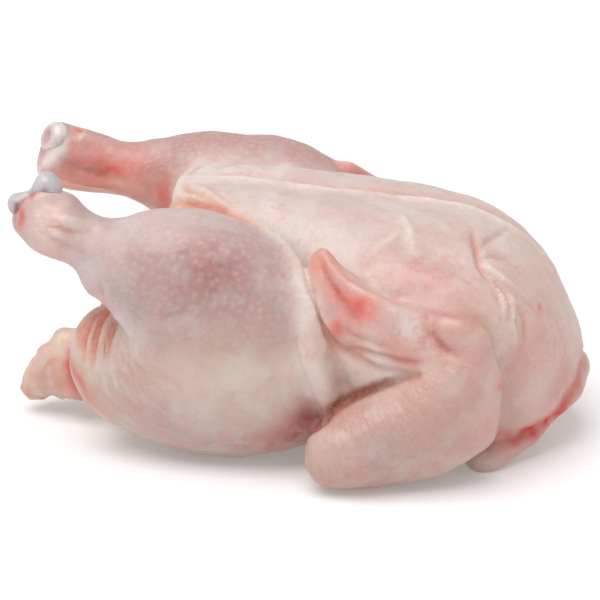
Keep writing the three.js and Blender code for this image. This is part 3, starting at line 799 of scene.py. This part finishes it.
def ripples(wavelength, seed, waves=16):
    """Smooth random hills of about unit height: a mean of plane waves in random directions."""
    random = np.random.default_rng(seed)
    direction = unit(random.normal(size=(waves, 3)))
    pace = 2 * np.pi / (wavelength * random.uniform(0.7, 1.5, waves))
    phase = random.uniform(0, 2 * np.pi, waves)
    return np.sin(skin_points @ (direction * pace[:, None]).T + phase).sum(1) / math.sqrt(waves / 2)


def normals_of(points):
    mesh.vertices.foreach_set("co", points.ravel())
    mesh.update()
    normals = np.empty(count * 3)
    mesh.vertex_normals.foreach_get("vector", normals)
    return normals.reshape(-1, 3)


skin_points = relaxed(skin_points, SLACK_STEPS, TENSION)
taut = relaxed(skin_points, TAUT_STEPS, TENSION)
clinging = [
    (WING_HAND, 15), (mirrored(WING_HAND), 15), (TAIL, 20), (LEFT_CUFF, 14), (SKIN_EDGE, 9),
    (mirrored(SKIN_EDGE), 9), (through_middle(VENT_FLAP_HALF), 10), (RIGHT_DRUMSTICK[-3:], 16),
    (through_middle(NECK_LIP_HALF), 10), (HOLLOW_OF_THE_KNEE, 9), (NECK_CUT, 8),
    (UNDER_THE_FLAP, 8), (mirrored(UNDER_THE_FLAP), 8), (FOREARM[:4], 16), (mirrored(FOREARM[:4]), 16),
]
slack = np.clip(sum(stroke(path_of(rows), width) for rows, width in clinging), 0, 1)
tight = stroke(path_of(BREAST_SIDE), 20) + stroke(path_of(mirrored(BREAST_SIDE)), 20)
tightest = relaxed(taut, TIGHT_STEPS, TENSION)
taut = taut + np.clip(1.4 * tight, 0, 1)[:, None] * (tightest - taut)
skin_points = taut + slack[:, None] * (skin_points - taut)
tail_lumps = stroke(path_of(TAIL), 16) * smoothstep(-skin_points[:, 0], 100, 112)
relief = 0.22 * ripples(30, 1) + 0.14 * ripples(12, 2)
relief += tail_lumps * (ripples(10, 3) + 0.6 * ripples(5, 4))
creases = np.zeros(count)
for rise, width, path in folds:
    fold = rise * stroke(path, width, laid_on=True)
    relief += fold
    if width <= CREASE_WIDTH:
        creases -= np.minimum(fold, 0)
folded_points = skin_points + normals_of(skin_points) * relief[:, None]
folded_points[:, 2] = np.maximum(folded_points[:, 2], 0)

# Which part of the body each point of the skin belongs to, and where it lies on that part.
FOLLICLE_SPACING = 4.4
ARM_SPACING = 3.1
BORDER_SHARPNESS = 9  # how fast one part's skin gives way to the next one's
FAR = 1e3  # a distance in half sizes that no point has
ratio = np.full((len(parts), count), FAR)
along = np.zeros((len(parts), count))
around = np.zeros((len(parts), count))
for row, (stations, up, _, _) in enumerate(parts.values()):
    for centre, half, run, path, side, rise in zip(*frames(stations, up, np.linspace(0, 1, 40))):
        offset = folded_points - centre
        across, upward, forward = offset @ side / half[0], offset @ rise / half[1], offset @ path
        here = np.sqrt(across**2 + upward**2 + (forward / half.mean()) ** 2)
        nearer = here < ratio[row]
        ratio[row, nearer] = here[nearer]
        along[row, nearer] = (run + forward)[nearer]
        around[row, nearer] = (np.arctan2(across, upward) * half.mean())[nearer]
belonging = np.exp(-BORDER_SHARPNESS * (ratio - ratio.min(0)))
belonging /= belonging.sum(0)
owner = ratio.argmin(0)
places = np.arange(count)
spacing = np.array([ARM_SPACING if "arm" in name else FOLLICLE_SPACING for name in parts])[owner]
skin_place = np.stack([along[owner, places], around[owner, places], np.zeros(count)], -1)
part = dict(zip(parts, belonging))
tint = belonging.T @ np.array([linear(colour) for _, _, colour, _ in parts.values()])
follicles = belonging.T @ np.array([share for *_, share in parts.values()])


def painted(tint, colour, mask):
    """The colour of each point, moved towards another colour by a share of 0 to 1."""
    return tint + np.clip(mask, 0, 1)[:, None] * (linear(colour) - tint)


x, y, z = folded_points.T
# Painted light: the top of the trunk paler and greyer, where the light falls on it
tint = painted(tint, "#d6c4bc", smoothstep(z, 90, 116) * part["trunk"])
for colour, strength, radius, path in patches:
    tint = painted(tint, colour, strength * stroke(path, radius, laid_on=True))
# Painted shade: creases darker and more orange the deeper they are
tint = painted(tint, "#cf8a72", 0.5 * np.clip(creases / 4, 0, 1))
flushed = np.zeros(count)
for radius, path in FLUSHED:
    flushed += stroke(path, radius) + stroke(mirrored(path), radius)

LINING_REACH = 1.12  # the raw inside of the body reaches this far, in half sizes of the cavity,
LINING_BORDER = 0.08  # and gives way to skin over this stretch
inside = smoothstep(LINING_REACH - np.min([
    np.linalg.norm((folded_points - row[:3]) / np.mean(row[3:5]), axis=1)
    for row in spline(BODY_CAVITY, np.linspace(0, 1, 40))
], axis=0), 0, LINING_BORDER)
tint = painted(tint, "#cc8c80", 0.6 * stroke(NECK_CUT, 13))
bleeding = np.clip((1.3 + 0.35 * ripples(9, 5)) * stroke(NECK_CUT, 5.0), 0, 1)
raw = np.maximum(inside, bleeding * (1 - 0.6 * smoothstep(z, 20, 34)))
tint = painted(painted(tint, "#d83430", raw), "#a4554c", inside)
# Painted shade: the skin's colour darkened towards the table, up to a given height
tint = tint * (1 - BOTTOM_SHADE * (1 - smoothstep(z, 0, BOTTOM_SHADE_UP_TO)))[:, None]
hock_side = 1 - smoothstep(x, -108, -84)  # the skin round the hocks grew scales, not feathers
follicles = follicles * (1 - raw) * (1 - hock_side)

# Fine wrinkles: how many lie across, how far along them in wrinkle lengths, and how deep they are.
VENT_PINCH = (-88, 84)  # the x and z where the slack skin over the vent is pinched together
WRINKLE_CENTRE = (-38, 66)  # and those that the thigh's fine wrinkles run round
WRINKLE_LENGTH = 16.0
THIGH_WRINKLE = 4.6  # the widths of the wrinkles on the thigh
ARM_WRINKLE = 4.4  # and on the arms,
VENT_WRINKLE = 0.22  # and the angle between those that fan out over the vent
THIGH_DEPTH = 0.8
ARM_DEPTH = 0.45
VENT_DEPTH = 1.2
wrinkle_place = np.zeros((count, 3))
wrinkled = np.zeros(count)


def wrinkle(across, along, depth):
    """Puts wrinkles where they are deeper than those that are there already."""
    deeper = depth > wrinkled
    wrinkle_place[deeper, 0] = across[deeper]
    wrinkle_place[deeper, 1] = along[deeper] / WRINKLE_LENGTH
    wrinkled[deeper] = depth[deeper]


def polar(centre):
    """Distance and angle round a point given by x and z; the angle is 0 straight down."""
    return np.hypot(x - centre[0], z - centre[1]), np.arctan2(x - centre[0], centre[1] - z)


def untorn(values, jump):
    """1, but 0 where the values jump from one skin point to the next, with a soft border."""
    gap = np.linalg.norm(values[edges[:, 0]] - values[edges[:, 1]], axis=1) > jump
    torn = np.zeros((count, 1))
    torn[edges[gap].ravel()] = 1
    return 1 - np.clip(4 * relaxed(torn, 3, 0.8)[:, 0], 0, 1)


thigh = part["left thigh"] + part["right thigh"]
arms = sum(belonging[row] for row, name in enumerate(parts) if "arm" in name)
distance, angle = polar(WRINKLE_CENTRE)
depth = THIGH_DEPTH * thigh * smoothstep(distance, 20, 34) * smoothstep(-x, 20, 60)
wrinkle(distance / THIGH_WRINKLE, angle * distance, depth)
distance, angle = polar(VENT_PINCH)
depth = VENT_DEPTH * smoothstep(distance, 8, 16) * (1 - smoothstep(distance, 26, 46))
depth = depth * smoothstep(-x, 74, 84)
wrinkle(angle / VENT_WRINKLE, distance, depth * smoothstep(VENT_PINCH[1] - z, 0, 8))
wrinkle(skin_place[:, 0] / ARM_WRINKLE, skin_place[:, 1], ARM_DEPTH * arms)

wrinkled = wrinkled * untorn(wrinkle_place, 0.8) * (1 - raw)
follicles = follicles * untorn(skin_place, 4)
skin_place = skin_place / spacing[:, None]

mesh.vertices.foreach_set("co", (folded_points * MM).ravel())
mesh.update()
mesh.polygons.foreach_set("use_smooth", np.ones(len(mesh.polygons), bool))


def paint_layer(mesh, name, values):
    """Stores one value, one colour or one place for each point, for the material to read."""
    if values.ndim == 1:
        mesh.attributes.new(name, "FLOAT", "POINT").data.foreach_set("value", values)
    else:
        mesh.attributes.new(name, "FLOAT_VECTOR", "POINT").data.foreach_set("vector", values.ravel())


paint_layer(mesh, "tint", tint)
paint_layer(mesh, "skin_place", skin_place)
paint_layer(mesh, "raw", raw)
paint_layer(mesh, "follicles", follicles)
paint_layer(mesh, "flushed", np.clip(flushed, 0, 1) * (1 - raw))
paint_layer(mesh, "wrinkle_place", wrinkle_place)
paint_layer(mesh, "wrinkled", wrinkled)


class Shade:
    """One output of a material's nodes. Sums, differences and products of it add Math nodes, and
    node() adds any other node, with its settings first and then its sockets."""

    def __init__(self, tree, socket=None):
        self.tree = tree
        self.socket = socket

    def node(self, kind, settings=None, inputs=None, output=0):
        made = self.tree.nodes.new("ShaderNode" + kind)
        for name, value in (settings or {}).items():
            setattr(made, name, value)
        for name, value in (inputs or {}).items():
            if isinstance(value, Shade):
                self.tree.links.new(value.socket, made.inputs[name])
            else:
                made.inputs[name].default_value = value
        return Shade(self.tree, made.outputs[output])

    def layer(self, name, output="Fac"):
        return self.node("Attribute", {"attribute_name": name}, output=output)

    def math(self, operation, *values):
        return self.node("Math", {"operation": operation}, dict(enumerate(values)))

    def __add__(self, other):
        return self.math("ADD", self, other)

    def __sub__(self, other):
        return self.math("SUBTRACT", self, other)

    def __rsub__(self, other):
        return self.math("SUBTRACT", other, self)

    def __mul__(self, other):
        return self.math("MULTIPLY", self, other)

    __radd__ = __add__
    __rmul__ = __mul__

    def step(self, low, high):
        """0 below low, 1 above high, and smooth between."""
        return self.node("MapRange", {"interpolation_type": "SMOOTHSTEP"}, {0: self, 1: low, 2: high})

    def mixed(self, other, share):
        """This colour blended towards another one. A Mix node's colours are its inputs 6 and 7
        and its output 2."""
        if isinstance(other, str):
            other = (*linear(other), 1)
        return self.node("Mix", {"data_type": "RGBA"}, {0: share, 6: self, 7: other}, 2)

    def noise(self, place, wavelength, detail=3.0, roughness=0.55):
        """Clouds of a wavelength given in drawn millimetres."""
        sockets = {"Vector": place, "Scale": 1 / (wavelength * MM), "Detail": detail, "Roughness": roughness}
        return self.node("TexNoise", {}, sockets)


def shading(name):
    """An empty material, and the Shade that its nodes are added through."""
    material = bpy.data.materials.new(name)
    material.use_nodes = True
    material.node_tree.nodes.clear()
    return material, Shade(material.node_tree)


def finish_with(shade, surface):
    output = shade.tree.nodes.new("ShaderNodeOutputMaterial")
    shade.tree.links.new(surface.socket, output.inputs["Surface"])


OBJECT_COORDINATES = 3  # the place of this output on the Texture Coordinate node
material, shade = shading("raw_skin")
place = shade.node("TexCoord", output=OBJECT_COORDINATES)
raw = shade.layer("raw")
follicles = shade.layer("follicles")
wrinkled = shade.layer("wrinkled")
clouds = shade.noise(place, 22)
blotches = shade.noise(place, 7, 4.0, 0.6)
marbling = shade.noise(place, 3, 3.0, 0.6)
grain = shade.noise(place, 1.1, 2.0)
vessels = shade.noise(place, 4.5, 5.0, 0.7)
pores = shade.node("TexVoronoi", {"voronoi_dimensions": "2D"}, {
    "Vector": shade.layer("skin_place", "Vector"), "Scale": 1.0, "Randomness": 0.72,
})
dots = (1 - pores.step(0.02, 0.5)) * follicles * blotches.step(0.2, 0.7)
lines = shade.node("TexNoise", {}, {
    "Vector": shade.layer("wrinkle_place", "Vector"), "Scale": 0.9, "Detail": 2.0, "Roughness": 0.5,
})
valleys = (1 - shade.math("ABSOLUTE", lines - 0.5).step(0.0, 0.16)) * wrinkled
colour = shade.layer("tint", "Color")
covered = 1 - raw
colour = colour.mixed("#c99a92", clouds.step(0.45, 0.7) * covered * 0.3)
colour = colour.mixed("#dccfc8", (1 - clouds.step(0.35, 0.55)) * covered * 0.25)
colour = colour.mixed("#cc8c84", blotches.step(0.5, 0.72) * covered * 0.3)
colour = colour.mixed("#c9bfbe", (1 - blotches.step(0.32, 0.48)) * covered * 0.25)
colour = colour.mixed("#c97f72", marbling.step(0.52, 0.75) * covered * 0.2)
colour = colour.mixed("#cf6a58", vessels.step(0.48, 0.7) * shade.layer("flushed") * 0.42)
# painted shade in the valleys of the fine wrinkles
colour = colour.mixed("#c58a7c", valleys * 0.3)
colour = colour.mixed("#e2d8d2", dots * 0.2)
height = dots * 0.12 + blotches * 0.5 + marbling * 0.25 + grain * 0.06 - valleys * 0.4
surface = shade.node("BsdfPrincipled", {"subsurface_method": "RANDOM_WALK"}, {
    "Base Color": colour,
    "Roughness": 0.52 - raw * 0.2 - blotches * 0.12,
    "Subsurface Weight": 0.35,
    "Subsurface Radius": (1.0, 0.45, 0.3),
    "Subsurface Scale": 0.004,
    "Coat Weight": 0.12,
    "Coat Roughness": 0.25,
    "Normal": shade.node("Bump", {}, {"Height": height, "Distance": MM, "Strength": 1.0}),
})
finish_with(shade, surface)
mesh.materials.append(material)
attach(skin, "root")
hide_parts("chicken")

# ---- Leg bones --------------------------------------------------------------------------------
# The shin bone of each leg ends in smooth gristle where the foot was cut off: two rolls side by
# side on the left leg, and a round head seen on its end on the right leg.
LEFT_ROLLS = ((-126.2, -LEG_Y, 126.4), (-113.4, -LEG_Y, 135.4))  # the middles of the two rolls
ROLL_PROFILE = [  # distance along the rolls' common axis, radius
    (-13.8, 0.01), (-13.4, 2.8), (-11.5, 5.4), (-8, 6.3), (-3.5, 4.6),
    (0, 3.6), (3.5, 5.2), (8, 7.2), (11.8, 6.4), (14, 3.6), (14.4, 0.01),
]
LEFT_SHAFT = [
    (-30, -LEG_Y, 88, 7.5, 7.5),
    (-62, -LEG_Y, 97, 4.5, 4.5),
    (-97, -LEG_Y, 110.5, 5, 5),
    (-118, -LEG_Y, 126, 7, 7),
]
RIGHT_SHAFT = [
    (-34, LEG_Y, 105, 7.5, 7.5),
    (-66, LEG_Y, 108.5, 4.5, 4.5),
    (-100, LEG_Y, 114, 5, 5),
    (-130, LEG_Y - 3, 125, 6, 6),
]
RIGHT_HEAD = (-133.5, LEG_Y - 6.5, 130)
RIGHT_FACING = unit(np.array([-0.72, -0.55, 0.42]))
HEAD_RADIUS = 9.2
HEAD_DEPTH = 7.0
DIMPLE_DEPTH = 3.0
DIMPLE_RADIUS = 4.6
BONE_VOXEL = 0.8


def turned(profile, middle, axis, around=48):
    """A profile of (distance along the axis, radius) turned round the axis."""
    run, radius = spline(profile, np.linspace(0, 1, 60)).T
    side = unit(np.cross(axis, (0.1, 1, 0.2)))
    rise = np.cross(axis, side)
    angle = 2 * np.pi * np.arange(around)[None, :, None] / around
    ring = np.cos(angle) * side + np.sin(angle) * rise
    radius = np.clip(radius, 0, None) * np.r_[0, np.ones(len(radius) - 2), 0]
    return closed_by_poles(np.array(middle) + run[:, None, None] * axis + radius[:, None, None] * ring)


def head_profile():
    """Half an ellipse from the back to the face, where a Gaussian dimple sinks its middle."""
    angle = np.pi * np.arange(25) / 24
    radius = HEAD_RADIUS * np.sin(angle)
    run = -HEAD_DEPTH * np.cos(angle)
    run = run - DIMPLE_DEPTH * np.exp(-((radius / DIMPLE_RADIUS) ** 2)) * (run > 0)
    return np.stack([run, radius], -1)


roll_axis = unit(np.array(LEFT_ROLLS[1]) - np.array(LEFT_ROLLS[0]))
rolls = turned(ROLL_PROFILE, np.mean(LEFT_ROLLS, axis=0), roll_axis)
head = turned(head_profile(), RIGHT_HEAD, RIGHT_FACING)
material, shade = shading("gristle")
place = shade.node("TexCoord", output=OBJECT_COORDINATES)
cloud = shade.noise(place, 6)
surface = shade.node("BsdfPrincipled", {"subsurface_method": "RANDOM_WALK"}, {
    "Base Color": shade.layer("tint", "Color").mixed("#a3979c", cloud.step(0.4, 0.75) * 0.4),
    "Roughness": 0.28 + cloud * 0.1,
    "Subsurface Weight": 0.3,
    "Subsurface Radius": (0.8, 0.6, 0.5),
    "Subsurface Scale": 0.003,
    "Coat Weight": 0.2,
    "Coat Roughness": 0.2,
    "Normal": shade.node("Bump", {}, {"Height": cloud, "Distance": MM * 0.6, "Strength": 0.6}),
})
finish_with(shade, surface)
dimple = np.array(RIGHT_HEAD) + RIGHT_FACING * (HEAD_DEPTH - DIMPLE_DEPTH)
LEFT_STAINS = [  # colour, strength, radius, places, as for the skin
    ("#7d4a55", 0.9, 3.0, [(-118, -60, 131), (-120, -66, 129)]),
    ("#9a6a72", 0.8, 2.2, [(-113, -66, 134), (-113, -66, 137)]),
    ("#8f4048", 0.9, 1.8, [(-126, -66, 131), (-127, -66, 126), (-128, -66, 122)]),
    ("#c8504a", 0.9, 2.0, [(-122, -66, 132), (-123, -66, 128)]),
]
RIGHT_STAINS = [
    ("#cf8f90", 0.9, 5.4, [tuple(dimple)]),
    ("#a8686e", 0.7, 2.4, [tuple(dimple + (1, 0, 1))]),
]
for node, knuckle, shaft, plain, stains in (
    ("left_leg_bone", rolls, LEFT_SHAFT, "#c9c3c6", LEFT_STAINS),
    ("right_leg_bone", head, RIGHT_SHAFT, "#e2dad8", RIGHT_STAINS),
):
    bone = fused(mesh_object(node + "_gristle", [knuckle, limb(shaft)]), BONE_VOXEL)
    bone_points = coordinates(bone.data)
    bone_tint = np.tile(linear(plain), (len(bone_points), 1))
    for colour, strength, radius, path in stains:
        bone_tint = painted(bone_tint, colour, strength * stroke(path, radius, bone_points, True))
    paint_layer(bone.data, "tint", bone_tint)
    bone.data.vertices.foreach_set("co", (bone_points * MM).ravel())
    bone.data.polygons.foreach_set("use_smooth", np.ones(len(bone.data.polygons), bool))
    bone.data.materials.append(material)
    bone.data.update()
    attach(bone, "root")
    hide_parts(node)

# ---- Table, light and camera ------------------------------------------------------------------
# A plain white table top that runs far back, white surroundings, one broad soft light above on
# the left, and a camera 18 degrees above the table.
FLOOR_HALF = 4.0
floor_mesh = bpy.data.meshes.new("floor")
corners = [(sx * FLOOR_HALF, sy * FLOOR_HALF, 0) for sx, sy in ((-1, -1), (1, -1), (1, 1), (-1, 1))]
floor_mesh.from_pydata(corners, [], [(0, 1, 2, 3)])
floor = bpy.data.objects.new("floor", floor_mesh)
bpy.context.scene.collection.objects.link(floor)
material, shade = shading("white_table")
finish_with(shade, shade.node("BsdfPrincipled", {}, {
    "Base Color": (0.82, 0.82, 0.82, 1),
    "Roughness": 0.5,
    "Specular IOR Level": 0.3,
    "Emission Color": (1, 1, 1, 1),
    "Emission Strength": 0.18,  # light that comes back through the white table
}))
floor_mesh.materials.append(material)

SKY_STRENGTH = 0.52
SUN_STRENGTH = 2.2
SUN_FROM = (-0.2, -0.3, 0.93)
SUN_WIDTH = math.radians(50)
world = bpy.data.worlds.new("surroundings")
world.use_nodes = True
world.node_tree.nodes["Background"].inputs["Color"].default_value = (1, 1, 1, 1)
world.node_tree.nodes["Background"].inputs["Strength"].default_value = SKY_STRENGTH
bpy.context.scene.world = world
lamp = bpy.data.lights.new("soft_light", "SUN")
lamp.energy = SUN_STRENGTH
lamp.angle = SUN_WIDTH
soft_light = bpy.data.objects.new("soft_light", lamp)
soft_light.rotation_mode = "QUATERNION"
soft_light.rotation_quaternion = Vector(SUN_FROM).to_track_quat("Z", "Y")
bpy.context.scene.collection.objects.link(soft_light)

TARGET = Vector((0, 0, 64)) * MM
ELEVATION = math.radians(18)
AZIMUTH = math.radians(6)
CAMERA_DISTANCE = 1150 * MM
PIXELS_PER_MM = 2.0  # at the target, in a picture 600 pixels wide
PICTURE_WIDTH = 600
lens = bpy.data.cameras.new("camera")
lens.sensor_width = 36
lens.lens = lens.sensor_width * PIXELS_PER_MM * CAMERA_DISTANCE / MM / PICTURE_WIDTH
camera = bpy.data.objects.new("camera", lens)
back = Vector((
    math.sin(AZIMUTH) * math.cos(ELEVATION),
    -math.cos(AZIMUTH) * math.cos(ELEVATION),
    math.sin(ELEVATION),
))
camera.location = TARGET + back * CAMERA_DISTANCE
camera.rotation_mode = "QUATERNION"
camera.rotation_quaternion = (-back).to_track_quat("-Z", "Y")
bpy.context.scene.collection.objects.link(camera)
bpy.context.scene.camera = camera
bpy.context.scene.view_settings.view_transform = "Standard"
